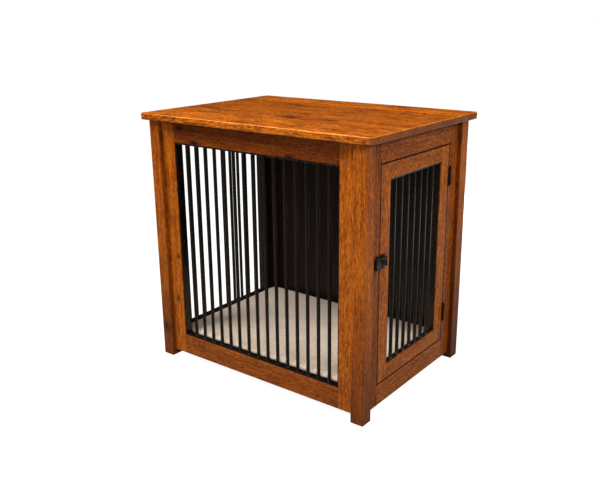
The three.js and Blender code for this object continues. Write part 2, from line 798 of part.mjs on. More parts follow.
const stopEdge = doorway.half - STOP_LAP;
const stopTopLow = doorway.high - STOP_LAP;
addPieces(
  right,
  {
    door_stop_side: block(
      [-stopEdge - STOP_WIDTH, -END_INSIDE, doorway.low + STOP_FOOT],
      [-stopEdge, -END_INSIDE + STOP_THICK, doorway.high + STOP_HEAD],
    ),
    door_stop_top: block(
      [-stopEdge + CLEAT_END_GAP, -END_INSIDE, stopTopLow],
      [stopEdge, -END_INSIDE + STOP_THICK, stopTopLow + STOP_WIDTH],
    ),
  },
  DARK_WOOD,
);
addPieces(
  right,
  {
    latch_back_plate: roundedPlate(latch.middle, 0, LATCH_PLATE_THICK),
    latch_case: latchCase(),
    latch_bolt: latchBolt(),
    latch_spindle: latchSpindle(),
    latch_thumb_turn: latchThumbTurn(),
    latch_keeper: latchKeeper(),
  },
  BLACK_STEEL,
);

// Battens round the foot and the head, the floor on the lower ones, and the pad.
addCleats(front, "front", WIDE_INSIDE, wideCleatHalf);
addCleats(back, "back", WIDE_INSIDE, wideCleatHalf);
addCleats(left, "left", END_INSIDE, endCleatHalf);
addCleats(right, "right", END_INSIDE, endCleatHalf);
addPiece(table, "floor_panel", floorPanel(), DARK_WOOD);
addPiece(table, "pad", pad(), PAD_CLOTH);

export default table;
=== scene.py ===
# %% [markdown]
# # A dog crate end table
# This lesson dresses a wooden end table that is also a dog crate. The solids come ready made
# and to size, so Blender's work is the surfaces: stained wood with its grain and knots, black
# steel with weld beads and screws, and a soft pad. Every length is in metres, and the table
# stands on the ground with its door towards +X and its wide barred front towards -Y.

# %% Load the solids
import json
import math
import random

import bmesh
import bpy
from mathutils import Matrix, Vector, noise


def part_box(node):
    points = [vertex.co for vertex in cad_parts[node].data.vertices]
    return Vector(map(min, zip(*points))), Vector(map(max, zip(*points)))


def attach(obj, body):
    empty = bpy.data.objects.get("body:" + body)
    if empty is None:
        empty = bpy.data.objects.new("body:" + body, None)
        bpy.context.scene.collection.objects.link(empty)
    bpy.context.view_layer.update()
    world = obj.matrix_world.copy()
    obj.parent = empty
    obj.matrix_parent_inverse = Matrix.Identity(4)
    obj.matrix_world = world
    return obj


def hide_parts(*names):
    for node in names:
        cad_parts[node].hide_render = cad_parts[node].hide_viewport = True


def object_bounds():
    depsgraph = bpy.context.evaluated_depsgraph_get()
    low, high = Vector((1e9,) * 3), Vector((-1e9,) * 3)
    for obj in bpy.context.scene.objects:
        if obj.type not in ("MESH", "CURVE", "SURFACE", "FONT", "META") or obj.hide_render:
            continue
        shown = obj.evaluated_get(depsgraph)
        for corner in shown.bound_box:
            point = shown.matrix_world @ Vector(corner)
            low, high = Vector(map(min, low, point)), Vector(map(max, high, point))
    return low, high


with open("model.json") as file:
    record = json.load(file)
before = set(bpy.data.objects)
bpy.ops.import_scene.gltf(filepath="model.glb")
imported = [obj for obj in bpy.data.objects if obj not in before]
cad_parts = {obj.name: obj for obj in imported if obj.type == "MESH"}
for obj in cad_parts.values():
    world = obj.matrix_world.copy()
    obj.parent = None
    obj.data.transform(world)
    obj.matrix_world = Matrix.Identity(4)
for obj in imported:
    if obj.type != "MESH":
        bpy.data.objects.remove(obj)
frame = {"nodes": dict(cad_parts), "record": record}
nodes = frame["nodes"]
scene = bpy.context.scene
solid_box = [list(corner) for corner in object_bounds()]
MM = 0.001
print("solids:", len(nodes), "box:", solid_box)

# %% [markdown]
# ## The camera
# The photograph was taken from the front right, a little above the table, with an ordinary
# portrait length of lens. The height, the tilt and the place were worked out from where the
# edges of the table run in it. The small shift is the photograph's own framing: the table does
# not stand in the middle of it.

# %% Camera
CAMERA_PLACE = Vector((1.2514, -1.6431, 0.9990))
CAMERA_YAW = math.radians(37.157)
CAMERA_PITCH = math.radians(16.923)
CAMERA_ROLL = math.radians(-0.359)
SENSOR_WIDTH_MM = 36.0
FOCAL_LENGTH_MM = 44.178
SHIFT_RIGHT = -0.01782
SHIFT_UP = -0.02085

lens = bpy.data.cameras.new("camera")
lens.sensor_width = SENSOR_WIDTH_MM
lens.lens = FOCAL_LENGTH_MM
lens.shift_x = SHIFT_RIGHT
lens.shift_y = SHIFT_UP
camera = bpy.data.objects.new("camera", lens)
scene.collection.objects.link(camera)
turned = Matrix.Rotation(CAMERA_YAW, 4, "Z")
tilted = Matrix.Rotation(math.pi / 2 - CAMERA_PITCH, 4, "X")
rolled = Matrix.Rotation(CAMERA_ROLL, 4, "Z")
camera.matrix_world = Matrix.Translation(CAMERA_PLACE) @ turned @ tilted @ rolled
scene.camera = camera
print("camera at", tuple(round(v, 3) for v in CAMERA_PLACE))

# %% [markdown]
# ## Helpers for materials
# A procedural material is a small network. Two helpers keep it readable: one adds a node and
# fills its inputs, linking those that come from another node, and one starts a material with
# its Principled shader. A number that is the same all over is set on the shader itself.


# %% Material helpers
def add(tree, kind, inputs=None, **settings):
    """Add a shader node; an input given as a socket is linked, and any other value is set."""
    made = tree.nodes.new("ShaderNode" + kind)
    for name, value in settings.items():
        setattr(made, name, value)
    for key, value in (inputs or {}).items():
        if isinstance(value, bpy.types.NodeSocket):
            tree.links.new(value, made.inputs[key])
        else:
            made.inputs[key].default_value = value
    return made


def math_node(tree, operation, first, second=0.0):
    return add(tree, "Math", {0: first, 1: second}, operation=operation).outputs[0]


def mix_colours(tree, share, first, second, blend="MIX"):
    inputs = {"Factor": share, "A": first, "B": second}
    made = tree.nodes.new("ShaderNodeMix")
    made.data_type = "RGBA"
    made.blend_type = blend
    for key, value in inputs.items():
        socket = [s for s in made.inputs if s.name == key and s.enabled][0]
        if isinstance(value, bpy.types.NodeSocket):
            tree.links.new(value, socket)
        else:
            socket.default_value = value
    return [s for s in made.outputs if s.enabled][0]


def ramp(tree, share, stops):
    """A colour ramp through (place, colour) stops."""
    made = add(tree, "ValToRGB", {"Fac": share})
    elements = made.color_ramp.elements
    while len(elements) < len(stops):
        elements.new(0.5)
    for element, (place, colour) in zip(elements, stops):
        element.position = place
        element.color = colour
    return made.outputs["Color"]


def grey(level):
    return (level, level, level, 1.0)


def map_range(tree, value, low, high, to_low=0.0, to_high=1.0):
    inputs = {"Value": value, "From Min": low, "From Max": high, "To Min": to_low, "To Max": to_high}
    return add(tree, "MapRange", inputs).outputs["Result"]


def start_material(name):
    material = bpy.data.materials.new(name)
    material.use_nodes = True
    tree = material.node_tree
    return material, tree, tree.nodes["Principled BSDF"]


print("helpers ready")

# %% [markdown]
# ## Floor and surround
# The table stands in a plain white studio. A white floor lit by the lamps could do, but its
# horizon and its shadows would show. So the floor glows a little for the camera and fades into a
# white surround, while it sends little light back up: in the photograph the wood grows darker
# towards the ground. Black steel shows what it mirrors more than its own colour, so the floor
# has a glow of its own for mirrored rays, weak in front of the table and stronger behind it.

# %% Floor and surround
FLOOR_REACH = 30.0
FLOOR_GLOW_NEAR = 0.94
FADE_START = 0.45
FADE_END = 1.5
GLOSS_IN_FRONT = 0.04
GLOSS_BEHIND = 0.32
FLOOR_PAINT = (0.15, 0.15, 0.15, 1.0)
WHITE = (1.0, 1.0, 1.0, 1.0)
SURROUND_GLOW = 0.03
PRINT_GAMMA = 0.90

floor_mesh = bpy.data.meshes.new("studio_floor")
corner_signs = ((-1, -1), (1, -1), (1, 1), (-1, 1))
floor_corners = [(x * FLOOR_REACH, y * FLOOR_REACH, 0.0) for x, y in corner_signs]
floor_mesh.from_pydata(floor_corners, [], [(0, 1, 2, 3)])
floor = bpy.data.objects.new("studio_floor", floor_mesh)
scene.collection.objects.link(floor)
floor_material, floor_tree, floor_shader = start_material("studio_floor")
spot = add(floor_tree, "TexCoord").outputs["Object"]
reach = add(floor_tree, "VectorMath", {0: spot}, operation="LENGTH").outputs["Value"]
glow = map_range(floor_tree, reach, FADE_START, FADE_END, FLOOR_GLOW_NEAR, 1.0)
camera_ray = add(floor_tree, "LightPath").outputs["Is Camera Ray"]
seen = math_node(floor_tree, "MULTIPLY", camera_ray, glow)
mirror_ray = add(floor_tree, "LightPath").outputs["Is Glossy Ray"]
depth_of_spot = add(floor_tree, "SeparateXYZ", {0: spot}).outputs[1]
mirror_glow = map_range(floor_tree, depth_of_spot, -1.0, 1.0, GLOSS_IN_FRONT, GLOSS_BEHIND)
mirrored = math_node(floor_tree, "MULTIPLY", mirror_ray, mirror_glow)
both_glows = math_node(floor_tree, "ADD", seen, mirrored)
floor_tree.links.new(both_glows, floor_shader.inputs["Emission Strength"])
floor_shader.inputs["Emission Color"].default_value = WHITE
floor_shader.inputs["Base Color"].default_value = FLOOR_PAINT
floor_shader.inputs["Roughness"].default_value = 0.9
floor_shader.inputs["Specular IOR Level"].default_value = 0.1
floor_mesh.materials.append(floor_material)

world = bpy.data.worlds.new("studio")
world.use_nodes = True
scene.world = world
sky = world.node_tree
background = sky.nodes["Background"]
background.inputs["Color"].default_value = WHITE
camera_ray = add(sky, "LightPath").outputs["Is Camera Ray"]
surround = map_range(sky, camera_ray, 0.0, 1.0, SURROUND_GLOW, 1.0)
sky.links.new(surround, background.inputs["Strength"])
scene.view_settings.view_transform = "Standard"
scene.view_settings.gamma = PRINT_GAMMA
print("floor and surround ready")

# %% [markdown]
# ## Lamps
# A product photograph is lit with a few large soft boxes, and area lamps are just that. The main
# one hangs high in front on the left. The top stands out over the rails, and such a steep light
# lays its shadow along them. A wide lamp beside the camera fills the fronts and reaches the pad,
# one at the right lights the door's end, and one overhead the right half of the top.
# Upright bars seen from above mirror the ground behind them, so a lit card lies on the floor
# behind the right end and draws a thin grey line down each door bar. It lights the grilles only.
# A weak lamp under the top evens out the light on the pad, as pale studio walls all round would,
# and a low one behind the table shows its back. That one stays below the top, so that none of
# its sheen reaches the top's face.


# %% Lamps
def soft_lamp(name, place, target, width, height, watts, tint):
    data = bpy.data.lights.new(name, "AREA")
    data.shape = "RECTANGLE"
    data.size = width
    data.size_y = height
    data.energy = watts
    data.color = tint
    lamp = bpy.data.objects.new(name, data)
    scene.collection.objects.link(lamp)
    lamp.location = place
    lamp.rotation_euler = (Vector(target) - Vector(place)).to_track_quat("-Z", "Y").to_euler()
    return lamp


WARM = (1.0, 0.96, 0.90)
NEUTRAL = (1.0, 0.98, 0.95)
# lamp: (where it is, what it looks at, width, height, watts, tint)
LAMPS = {
    "key_lamp": ((-1.20, -1.60, 2.75), (0.0, -0.15, 0.45), 1.3, 1.0, 112.0, WARM),
    "top_lamp": ((0.80, -0.35, 2.30), (0.4, -0.2, 0.70), 0.9, 0.9, 28.0, WARM),
    "fill_lamp": ((0.7, -2.5, 1.2), (0.1, 0.0, 0.45), 1.6, 1.0, 24.0, WARM),
    "side_lamp": ((2.4, -0.15, 1.75), (0.35, 0.0, 0.45), 1.0, 0.8, 40.0, NEUTRAL),
    "floor_card": ((1.15, 1.60, 0.01), (1.15, 1.60, 1.0), 0.7, 1.4, 10.0, NEUTRAL),
    "cabin_lamp": ((-0.20, -0.08, 0.69), (-0.22, -0.08, 0.0), 0.22, 0.28, 0.36, WARM),
    "back_lamp": ((-0.1, 2.4, 0.45), (-0.1, 0.0, 0.42), 1.0, 0.5, 60.0, WARM),
}
lamps = {name: soft_lamp(name, *row) for name, row in LAMPS.items()}
for name in ("floor_card", "cabin_lamp", "back_lamp"):
    lamps[name].visible_camera = False
lit_by_card = bpy.data.collections.new("lit_by_card")
lamps["floor_card"].light_linking.receiver_collection = lit_by_card
print("lamps:", len(lamps))

# %% [markdown]
# ## Wood
# The table is stained a warm red-brown with a satin finish, and the grain runs along each
# piece. Flat patterns could be laid on the faces, but they would not meet at the edges. So the
# material is solid: it has a colour at every point of space, and each face shows a slice of it,
# as a sawn board does. A board's figure is a slice through growth rings. The material measures
# how far a point is from a pith line that lies beside the board, bends that distance slowly
# along the grain and turns it into bands. Fine fibres and short dark pores are noise stretched
# along the grain. Where a knot shows, the rings bend round it and darken.

# %% Stains
STAIN_DEEP = (0.078, 0.0134, 0.0012, 1.0)
STAIN_DARK = (0.207, 0.0435, 0.0018, 1.0)
STAIN_MIDDLE = (0.370, 0.0950, 0.0030, 1.0)
STAIN_LIGHT = (0.620, 0.2060, 0.0100, 1.0)
STAIN_STOPS = [(0.05, STAIN_DEEP), (0.34, STAIN_DARK), (0.56, STAIN_MIDDLE), (0.92, STAIN_LIGHT)]
KNOT_STAIN = (0.012, 0.0040, 0.0020, 1.0)
END_STAIN = (0.120, 0.0420, 0.0130, 1.0)
# pale colour on the top's outer edges: wear, and a painted highlight along them
ARRIS_WEAR_AND_HIGHLIGHT = (0.95, 0.46, 0.10, 1.0)
# painted shade: the faces inside the cabin are made almost black
CABIN_SHADE = (0.0150, 0.0042, 0.0020, 1.0)
# painted shade for the narrow gap round the door
DOORWAY_GAP_SHADE = (0.040, 0.0075, 0.0020, 1.0)
print("stains ready")

# %% Grain noise
# noise: (waves in a metre along the grain, waves in a metre across it, octaves, roughness)
WOOD_NOISE = {
    "drift": (2.2, 9.0, 2.0, 0.5),
    "waver": (10.0, 40.0, 2.0, 0.5),
    "long_streak": (6.0, 130.0, 2.0, 0.55),
    "short_streak": (11.0, 130.0, 2.0, 0.55),
    "cloud": (9.0, 24.0, 3.0, 0.6),
    "mottle": (85.0, 300.0, 3.0, 0.7),
    "fibre": (26.0, 560.0, 3.0, 0.65),
    "pore": (95.0, 900.0, 1.0, 0.5),
}


def along_grain(tree, grain, seed):
    """Coordinates turned so that x runs along the grain, shifted so that no two boards match."""
    place = add(tree, "TexCoord").outputs["Object"]
    parts = add(tree, "SeparateXYZ", {0: place}).outputs
    order = {"X": (0, 1, 2), "Y": (1, 0, 2), "Z": (2, 0, 1)}[grain]
    joined = add(tree, "CombineXYZ", {i: parts[axis] for i, axis in enumerate(order)})
    chance = random.Random(seed)
    shift = tuple(chance.uniform(-3.0, 3.0) for _ in range(3))
    moved = add(tree, "VectorMath", {0: joined.outputs[0], 1: shift}, operation="ADD")
    return place, joined.outputs[0], moved.outputs[0]


def stretched_noise(tree, vector, stretch, detail=2.0, roughness=0.5):
    scaled = add(tree, "VectorMath", {0: vector, 1: stretch}, operation="MULTIPLY").outputs[0]
    inputs = {"Vector": scaled, "Scale": 1.0, "Detail": detail, "Roughness": roughness}
    return add(tree, "TexNoise", inputs).outputs["Fac"]


def wood_noise(tree, moved, layer):
    along, across, octaves, roughness = WOOD_NOISE[layer]
    return stretched_noise(tree, moved, (along, across, across), octaves, roughness)


def weighted(tree, layers, start):
    """Sum of (value, weight) layers, each centred on one half."""
    total = start
    for value, weight in layers:
        part = math_node(tree, "MULTIPLY", math_node(tree, "SUBTRACT", value, 0.5), weight)
        total = math_node(tree, "ADD", part, total)
    return total


print("noise layers:", len(WOOD_NOISE))

# %% Knots and rings
RING_SPACING = 7.0 * MM
RING_DRIFT = 70.0 * MM
RING_WAVER = 7.0 * MM
RING_BEND_AT_KNOT = 14.0 * MM
RING_BANDS = [(0.0, grey(0.62)), (0.5, grey(0.60)), (0.86, grey(0.25)), (1.0, grey(0.60))]
KNOT_WOBBLE = 0.9
KNOT_CORE = 0.60
KNOT_RIM = 1.9


def knot_shade(tree, place, grain, knots):
    """How near a point is to a knot, from 0 to 1. A knot is (x, y, z, radius, stretch, darkness)."""
    wobble = stretched_noise(tree, place, (90.0, 90.0, 90.0), 3.0)
    shade = None
    for x, y, z, radius, stretch, darkness in knots:
        squeeze = [1.0, 1.0, 1.0]
        squeeze["XYZ".index(grain)] = 1.0 / stretch
        offset = add(tree, "VectorMath", {0: place, 1: (x, y, z)}, operation="SUBTRACT").outputs[0]
        offset = add(tree, "VectorMath", {0: offset, 1: squeeze}, operation="MULTIPLY").outputs[0]
        away = add(tree, "VectorMath", {0: offset}, operation="LENGTH").outputs["Value"]
        bent = math_node(tree, "ADD", away, math_node(tree, "MULTIPLY", wobble, KNOT_WOBBLE * radius))
        near = map_range(tree, bent, KNOT_CORE * radius, KNOT_RIM * radius, darkness, 0.0)
        shade = near if shade is None else math_node(tree, "MAXIMUM", shade, near)
    return shade


def growth_rings(tree, straight, moved, pith, knot):
    """Bands of early and late wood, at a slowly bent distance from the pith line."""
    parts = add(tree, "SeparateXYZ", {0: straight}).outputs
    side_a = math_node(tree, "SUBTRACT", parts[1], pith[0])
    side_b = math_node(tree, "SUBTRACT", parts[2], pith[1])
    square_a = math_node(tree, "MULTIPLY", side_a, side_a)
    square_b = math_node(tree, "MULTIPLY", side_b, side_b)
    distance = math_node(tree, "SQRT", math_node(tree, "ADD", square_a, square_b))
    bends = [(wood_noise(tree, moved, "drift"), RING_DRIFT), (wood_noise(tree, moved, "waver"), RING_WAVER)]
    if knot is not None:
        bends.append((knot, RING_BEND_AT_KNOT))
    for value, reach in bends:
        distance = math_node(tree, "ADD", distance, math_node(tree, "MULTIPLY", value, reach))
    band = math_node(tree, "FRACT", math_node(tree, "DIVIDE", distance, RING_SPACING))
    return ramp(tree, band, RING_BANDS)


print("rings ready")

# %% [markdown]
# ## Where the stain differs
# A stain does not take alike everywhere. End grain drinks more of it and turns dark. On the
# outer edges of the top, hands have rubbed it thin, and its paler colour there also paints the
# highlight along those edges. The feet are painted darker towards the ground, a painted shade,
# and so is the front face of the leg behind the door. The inside of the cabin is painted almost
# black, and the edges that face each other across the gap round the door are dark too: both are
# painted shade. These places could be painted by hand on each mesh, but then they would be lost
# when a size changes. Here each is found from a point's own place, or from the way its face looks.

# %% Places on the table
TOP_CORNER = Vector(solid_box[1])
ARRIS_BARE = 0.5 * MM
ARRIS_STAINED = 2.4 * MM
ARRIS_WEAR_AND_GLINT = 0.90
END_GRAIN_DARK = 0.60
CABIN = (0.3330, 0.2295, 0.7175)
CABIN_BACK = (0.3330, 0.2345, 0.7175)
# outline: (half its width, its lowest and its highest height)
DOOR_OUTLINE = (0.175, 0.078, 0.656)
DOORWAY_OUTLINE = (0.177, 0.076, 0.658)
DOORWAY_TRIM = 1.1 * MM


def facing_share(tree, axis):
    """How squarely a face looks along an axis: 1 along it, -1 against it."""
    facing = add(tree, "TexCoord").outputs["Normal"]
    return add(tree, "SeparateXYZ", {0: facing}).outputs["XYZ".index(axis)]


def worn_and_lit_arris(tree, place):
    """Strongest on the outer top edges of the tabletop: rubbed wear, and a painted highlight."""
    parts = add(tree, "SeparateXYZ", {0: place}).outputs
    from_end = math_node(tree, "SUBTRACT", TOP_CORNER.x, math_node(tree, "ABSOLUTE", parts[0]))
    from_side = math_node(tree, "SUBTRACT", TOP_CORNER.y, math_node(tree, "ABSOLUTE", parts[1]))
    inward = math_node(tree, "MINIMUM", from_end, from_side)
    away = math_node(tree, "ADD", inward, math_node(tree, "SUBTRACT", TOP_CORNER.z, parts[2]))
    return map_range(tree, away, ARRIS_BARE, ARRIS_STAINED, ARRIS_WEAR_AND_GLINT, 0.0)


def inside_cabin(tree, place, cabin):
    """1 on faces that look into the cabin: inside half width, half depth and height."""
    parts = add(tree, "SeparateXYZ", {0: place}).outputs
    in_width = math_node(tree, "LESS_THAN", math_node(tree, "ABSOLUTE", parts[0]), cabin[0])
    in_depth = math_node(tree, "LESS_THAN", math_node(tree, "ABSOLUTE", parts[1]), cabin[1])
    in_height = math_node(tree, "LESS_THAN", parts[2], cabin[2])
    return math_node(tree, "MULTIPLY", math_node(tree, "MULTIPLY", in_width, in_depth), in_height)


def doorway_edges(tree, place, on_door):
    """1 on the edges that face each other across the gap round the door."""
    parts = add(tree, "SeparateXYZ", {0: place}).outputs
    trim = -DOORWAY_TRIM if on_door else DOORWAY_TRIM
    half, bottom, top = DOOR_OUTLINE if on_door else DOORWAY_OUTLINE
    inside = math_node(tree, "LESS_THAN", math_node(tree, "ABSOLUTE", parts[1]), half + trim)
    above = math_node(tree, "GREATER_THAN", parts[2], bottom - trim)
    below = math_node(tree, "LESS_THAN", parts[2], top + trim)
    inside = math_node(tree, "MULTIPLY", inside, math_node(tree, "MULTIPLY", above, below))
    return math_node(tree, "SUBTRACT", 1.0, inside) if on_door else inside


def stain_and_shade_places(tree, place, grain, look, colour):
    """Mix each special stain, painted shade and painted highlight in where it belongs."""
    # painted shade: legs are darker towards the ground
    if look["foot"]:
        darkness, reach = look["foot"]
        height = add(tree, "SeparateXYZ", {0: place}).outputs[2]
        low_down = map_range(tree, height, 0.0, reach, darkness, 0.0)
        colour = mix_colours(tree, low_down, colour, STAIN_DEEP)
    # painted shade on the front faces of the leg behind the door
    if look["front"]:
        front = map_range(tree, facing_share(tree, "Y"), -0.8, -0.5, look["front"], 0.0)
        colour = mix_colours(tree, front, colour, STAIN_DEEP)
    end = math_node(tree, "ABSOLUTE", facing_share(tree, grain))
    sawn = map_range(tree, end, 0.75, 0.95, 0.0, END_GRAIN_DARK)
    colour = mix_colours(tree, sawn, colour, END_STAIN)
    # paler outer edges of the top: wear, and a painted highlight
    if look["top"]:
        colour = mix_colours(tree, worn_and_lit_arris(tree, place), colour, ARRIS_WEAR_AND_HIGHLIGHT)
    if look["doorway"]:
        # painted shade on the edges that face each other across the gap round the door
        edges = doorway_edges(tree, place, look["doorway"] == "door")
        return mix_colours(tree, edges, colour, DOORWAY_GAP_SHADE)
    # painted shade: faces inside the cabin are made almost black
    return mix_colours(tree, inside_cabin(tree, place, look["cabin"]), colour, CABIN_SHADE)


print("places ready")

# %% Wood material
MEAN_SHADE = 0.55
STREAK_WEIGHT = 0.50
FIBRE_WEIGHT = 0.70
PORE_DARK = 0.60
KNOT_DARK = 0.96
# a darker tone is also a redder one: green and blue fall faster than red
GREEN_FALL = 1.25
BLUE_FALL = 1.6
GRAIN_DEPTH = 0.4 * MM


def stained_wood(name, grain, seed, pith, look):
    """Satin stained wood; `pith` is where the heart of the tree lies beside the piece."""
    material, tree, shader = start_material("wood_" + name)
    place, straight, moved = along_grain(tree, grain, seed)
    knot = knot_shade(tree, place, grain, look["knots"]) if look["knots"] else None
    fibre = wood_noise(tree, moved, "fibre")
    pore = wood_noise(tree, moved, "pore")
    layers = [
        (growth_rings(tree, straight, moved, pith, knot), look["figure"]),
        (wood_noise(tree, moved, look["streak"]), STREAK_WEIGHT),
        (wood_noise(tree, moved, "cloud"), look["cloud"]),
        (wood_noise(tree, moved, "mottle"), look["mottle"]),
        (fibre, FIBRE_WEIGHT),
    ]
    colour = ramp(tree, weighted(tree, layers, MEAN_SHADE), STAIN_STOPS)
    colour = mix_colours(tree, map_range(tree, pore, 0.58, 0.70, 0.0, PORE_DARK), colour, STAIN_DEEP)
    if knot is not None:
        core = map_range(tree, knot, 0.15, 1.0, 0.0, KNOT_DARK)
        colour = mix_colours(tree, core, colour, KNOT_STAIN)
    tone = look["tone"]
    tint = (tone, tone ** GREEN_FALL, tone ** BLUE_FALL, 1.0)
    colour = mix_colours(tree, 1.0, colour, tint, "MULTIPLY")
    colour = stain_and_shade_places(tree, place, grain, look, colour)

    roughness = map_range(tree, fibre, 0.2, 0.8, 0.50, 0.34)
    grain_height = math_node(tree, "SUBTRACT", math_node(tree, "MULTIPLY", fibre, 0.5), pore)
    bump = add(tree, "Bump", {"Height": grain_height, "Strength": 0.22, "Distance": GRAIN_DEPTH})
    tree.links.new(colour, shader.inputs["Base Color"])
    tree.links.new(roughness, shader.inputs["Roughness"])
    tree.links.new(bump.outputs["Normal"], shader.inputs["Normal"])
    shader.inputs["Specular IOR Level"].default_value = 0.30
    shader.inputs["Coat Weight"].default_value = look["gloss"]
    shader.inputs["Coat Roughness"].default_value = 0.22
    return material


print("wood finish ready")

# %% [markdown]
# ## Dressing the wooden pieces
# The solids arrive with sharp edges and split faces, and no real board is that sharp. The edges
# could be cut in the mesh, but then the solid and its dressing would part company. Modifiers
# leave the mesh alone. Three of them ease the arrises as sandpaper would: weld the faces
# together, merge the flat triangles into whole faces, and bevel what is left.

# %% Eased edges
WELD_REACH = 0.02 * MM


def ease_edges(piece, width):
    weld = piece.modifiers.new("weld", "WELD")
    weld.merge_threshold = WELD_REACH
    flat = piece.modifiers.new("whole_faces", "DECIMATE")
    flat.decimate_type = "DISSOLVE"
    flat.angle_limit = math.radians(1.0)
    bevel = piece.modifiers.new("eased_edges", "BEVEL")
    bevel.width = width
    bevel.segments = 2
    bevel.limit_method = "ANGLE"
    bevel.angle_limit = math.radians(40)
    bevel.use_clamp_overlap = True


def dress(piece, material):
    piece.data.materials.clear()
    piece.data.materials.append(material)


def low(name):
    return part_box(name)[0]


def high(name):
    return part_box(name)[1]


print("edge modifiers ready")

# %% [markdown]
# ## Where the knots show
# The photograph shows a handful of knots and a dark burl in the top. Each is given by its place
# on the piece, how large it is, how far it is drawn out along the grain, and how dark it is.

# %% Knots
FRONT_FACE = low("front_top_rail").y
LEG_FACE = low("leg_front_left").y
TOP_FACE = high("tabletop_board_1").z
DOOR_FACE = high("door_latch_stile").x
KNOTS = {
    "front_top_rail": [
        (-0.256, FRONT_FACE, 0.700, 0.008, 1.9, 1.0),
        (-0.200, FRONT_FACE, 0.663, 0.008, 2.8, 1.0),
        (0.128, FRONT_FACE, 0.660, 0.009, 1.7, 1.0),
    ],
    "leg_front_left": [(-0.349, LEG_FACE, 0.091, 0.021, 1.0, 1.0)],
    "front_left_stile": [
        (-0.302, FRONT_FACE, 0.189, 0.009, 1.8, 0.9),
        (-0.292, FRONT_FACE, 0.323, 0.007, 1.3, 0.9),
    ],
    "leg_back_right": [(0.356, low("leg_back_right").y, 0.5345, 0.008, 1.6, 0.8)],
    "door_latch_stile": [(DOOR_FACE, -0.167, 0.549, 0.007, 2.2, 0.7)],
    "tabletop_board_2": [
        (0.020, -0.107, TOP_FACE, 0.019, 2.6, 1.0),
        (0.078, -0.124, TOP_FACE, 0.011, 2.6, 0.80),
        (0.140, -0.098, TOP_FACE, 0.012, 3.0, 0.80),
    ],
    "tabletop_board_4": [
        (-0.100, 0.090, TOP_FACE, 0.014, 2.6, 0.80),
        (-0.060, 0.104, TOP_FACE, 0.010, 3.0, 0.60),
    ],
}

# %% [markdown]
# ## A material for each board
# One material for all the wood would make the table look cast in one piece. Boards from one
# tree differ, so every board gets a material of its own, with its own shift, pith and tone. A
# tone of 1 is the plain stain, and less is darker and redder. The top front rail and the stile
# beside the front right leg are made darker still, as painted shade.

# %% Tones
TONES_AND_SHADES = {
    "leg_front_right": 1.02,
    "leg_front_left": 0.90,
    "leg_back_right": 1.08,
    "front_left_stile": 1.10,
    "front_right_stile": 1.08,
    # made darker: painted shade under the top's overhang
    "front_top_rail": 0.49,
    "front_bottom_rail": 0.80,
    # made darker: painted shade of its recess behind the front right leg
    "right_front_stile": 0.61,
    "right_top_rail": 0.82,
    "right_back_stile": 0.76,
    "right_bottom_rail": 0.92,
    "door_latch_stile": 1.04,
    "door_hinge_stile": 1.08,
    "door_top_rail": 1.02,
    "door_bottom_rail": 1.00,
    "tabletop_board_1": 1.07,
    "tabletop_board_2": 0.89,
    "tabletop_board_3": 0.91,
    "tabletop_board_4": 0.87,
    "tabletop_board_5": 0.97,
}
INNER_TONE = 0.70
PLAIN_TONE = 0.96
# look: how strongly the rings, clouds and specks tell, the streaks' noise, and the coat's gloss
TOP_LOOK = {"figure": 0.45, "cloud": 0.75, "mottle": 1.9, "streak": "short_streak", "gloss": 0.22}
FRAME_LOOK = {"figure": 0.25, "cloud": 0.45, "mottle": 1.3, "streak": "long_streak", "gloss": 0.14}
END_MOTTLE = 1.9
# foot: painted shade towards the ground: (how dark a leg is at the ground, the height where that ends)
LEG_FOOT = (0.62, 0.36)
SHADED_FOOT = (0.98, 0.55)
# the front face of the leg behind the door is painted darker than its sides: painted shade, as the table's
# body keeps the light off it
SHADED_FRONT = 0.62
SHADED_LEG = "leg_back_right"
WOOD_SLOTS = ("tabletop_wood", "frame_wood", "door_wood", "inner_wood")
print("tones:", len(TONES_AND_SHADES))


# %% Wooden pieces
def grain_of(name):
    """The grain runs along the longest side of a piece, and upright in the back panel."""
    if name == "back_panel":
        return "Z"
    size = high(name) - low(name)
    return "XYZ"[max(range(3), key=lambda axis: size[axis])]


def look_of(name, slot):
    """Everything about a board's finish that depends on which board it is."""
    top = slot == "tabletop_wood"
    look = dict(TOP_LOOK if top else FRAME_LOOK)
    look["top"] = top
    look["tone"] = INNER_TONE if slot == "inner_wood" else TONES_AND_SHADES.get(name, PLAIN_TONE)
    look["knots"] = KNOTS.get(name)
    look["cabin"] = CABIN_BACK if name.startswith("back_") else CABIN
    look["front"] = SHADED_FRONT if name == SHADED_LEG else None
    look["foot"] = None
    if name.startswith("leg_"):
        look["foot"] = SHADED_FOOT if name == SHADED_LEG else LEG_FOOT
    at_door = name.startswith(("door_", "right_"))
    if at_door:
        look["mottle"] = END_MOTTLE
    look["doorway"] = None
    if at_door and not name.startswith("door_stop"):
        look["doorway"] = "door" if name.startswith("door_") else "frame"
    return look


PITH_ASIDE = 0.09
PITH_NEAR = 0.02
PITH_FAR = 0.08
TOP_EASE = 0.6 * MM
FRAME_EASE = 0.7 * MM
record_slots = {row["node"]: row["material_slot"] for row in frame["record"]["subparts"]}
wooden = sorted(name for name, slot in record_slots.items() if slot in WOOD_SLOTS)
for seed, name in enumerate(wooden, start=1):
    grain = grain_of(name)
    look = look_of(name, record_slots[name])
    chance = random.Random(seed * 7)
    across = low(name)[0 if grain != "X" else 1]
    pith = (across + chance.uniform(-PITH_ASIDE, PITH_ASIDE), chance.uniform(PITH_NEAR, PITH_FAR))
    dress(nodes[name], stained_wood(name, grain, seed, pith, look))
    ease_edges(nodes[name], TOP_EASE if look["top"] else FRAME_EASE)
print("wooden pieces:", len(wooden))

